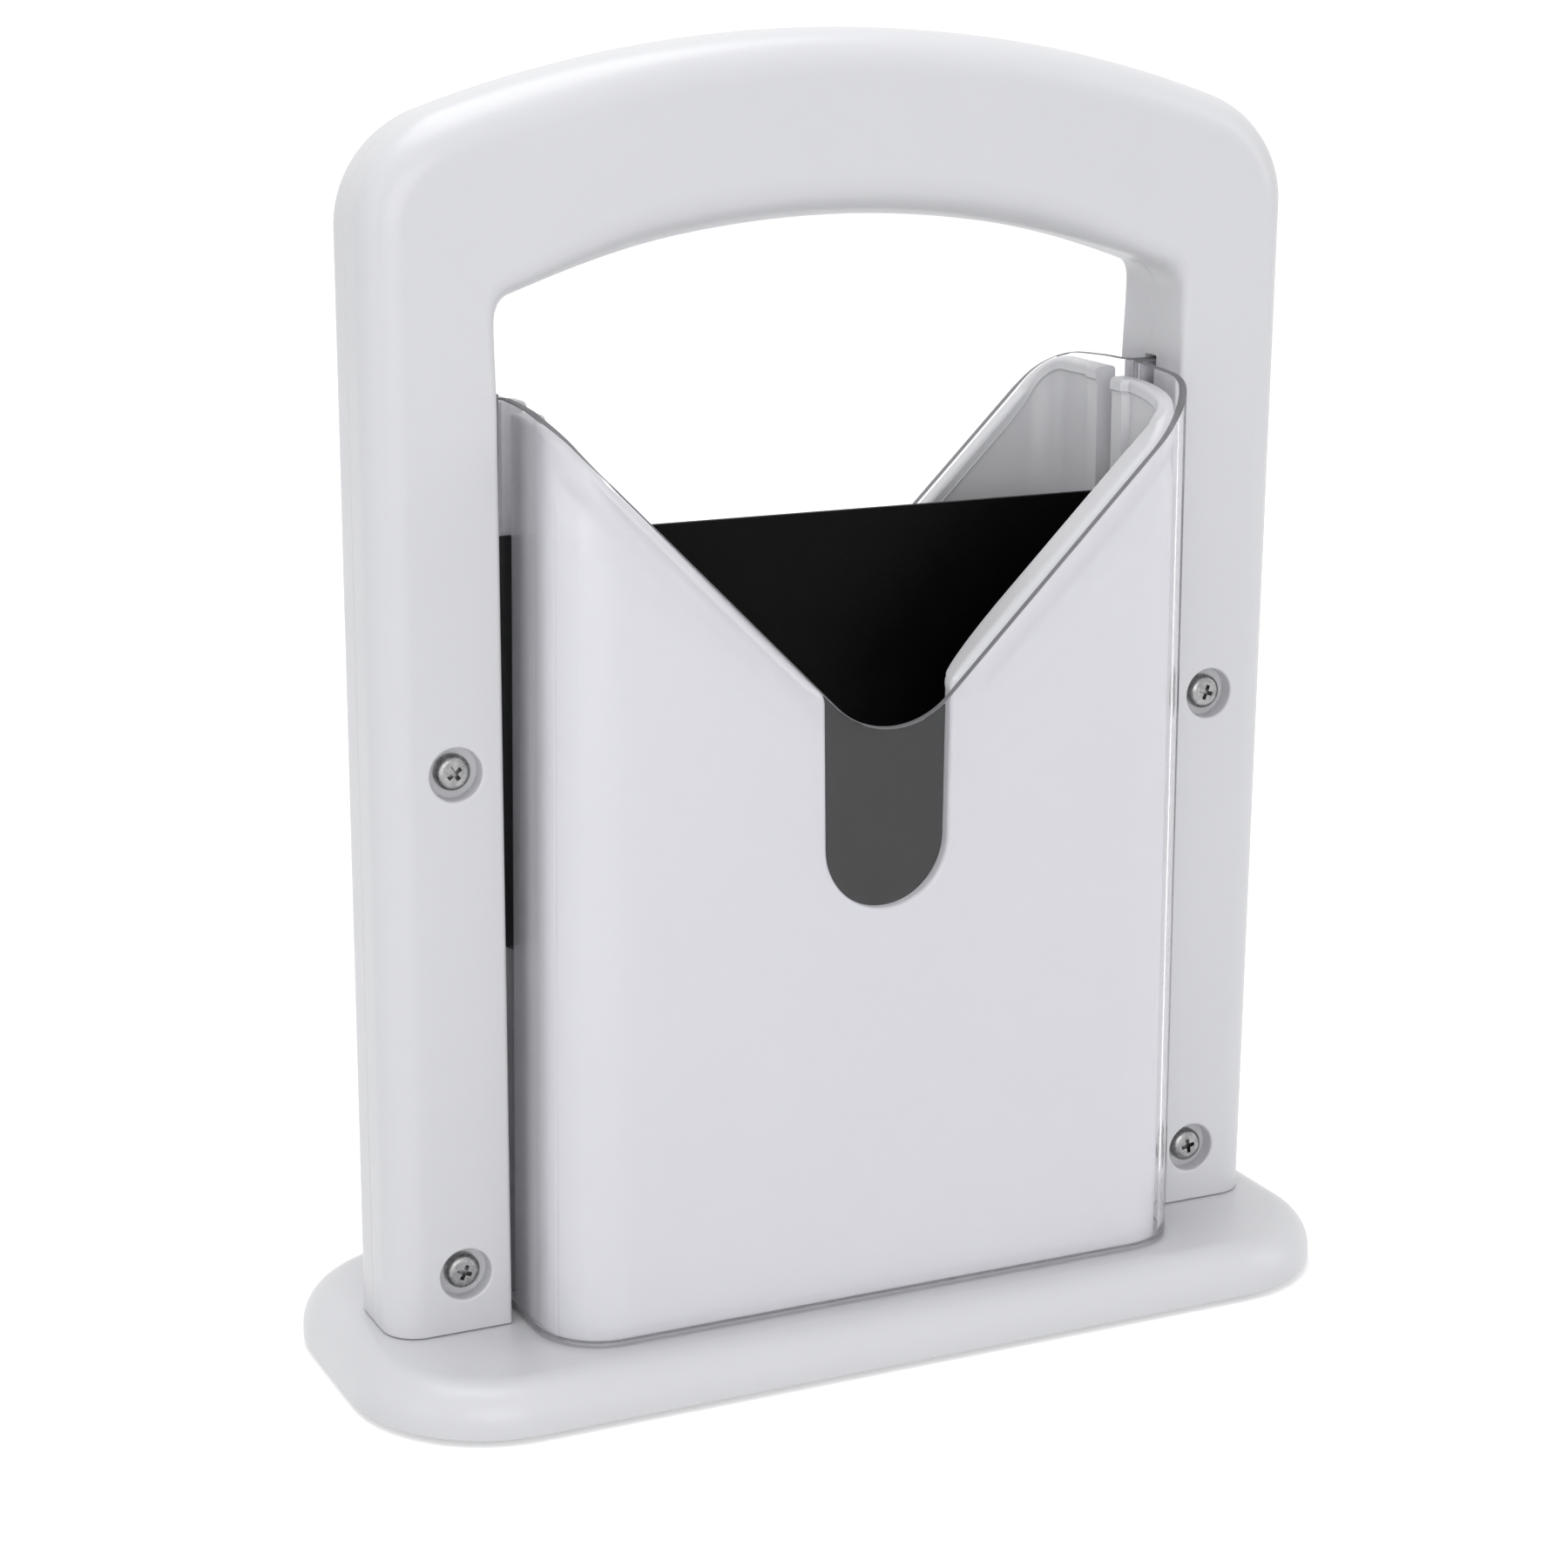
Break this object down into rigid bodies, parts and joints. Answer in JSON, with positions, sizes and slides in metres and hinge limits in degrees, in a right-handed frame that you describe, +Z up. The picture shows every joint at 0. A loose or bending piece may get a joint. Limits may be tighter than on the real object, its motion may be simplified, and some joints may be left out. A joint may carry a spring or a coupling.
{
  "type": "bagel guillotine slicer",
  "caption": "White holder with a V mouth on a flat base, and a lift-off inverted-U handle that carries a toothed blade between clear shields.",
  "frame": {"origin": "under the middle of the base, on the worktop, in the plane of the blade", "axes": "+X across the handle to the right leg, +Y from the front shell to the rear shell, +Z up along the blade's travel"},
  "size_m": [0.1948, 0.0764, 0.2356],
  "materials": {
    "white_plastic": "moulded, satin gloss",
    "blade_coating": "non-stick coating, satin",
    "clear_plastic": "clear, polished",
    "screw_steel": "zinc plated",
    "foot_rubber": "matt"
  },
  "bodies": {
    "holder": {"base": "white_plastic", "front_shell": "white_plastic", "rear_shell": "white_plastic", "base_screws": "screw_steel", "foot_front_left": "foot_rubber", "foot_front_right": "foot_rubber", "foot_rear_left": "foot_rubber", "foot_rear_right": "foot_rubber"},
    "handle": {"handle_front": "white_plastic", "handle_rear": "white_plastic", "blade": "blade_coating", "front_shield": "clear_plastic", "rear_shield": "clear_plastic", "handle_screws": "screw_steel"}
  },
  "joints": [
    {"name": "handle_lift", "type": "slide", "parent": "holder", "child": "handle", "axis": [0, 0, 1], "range_m": [0, 0.17]}
  ]
}
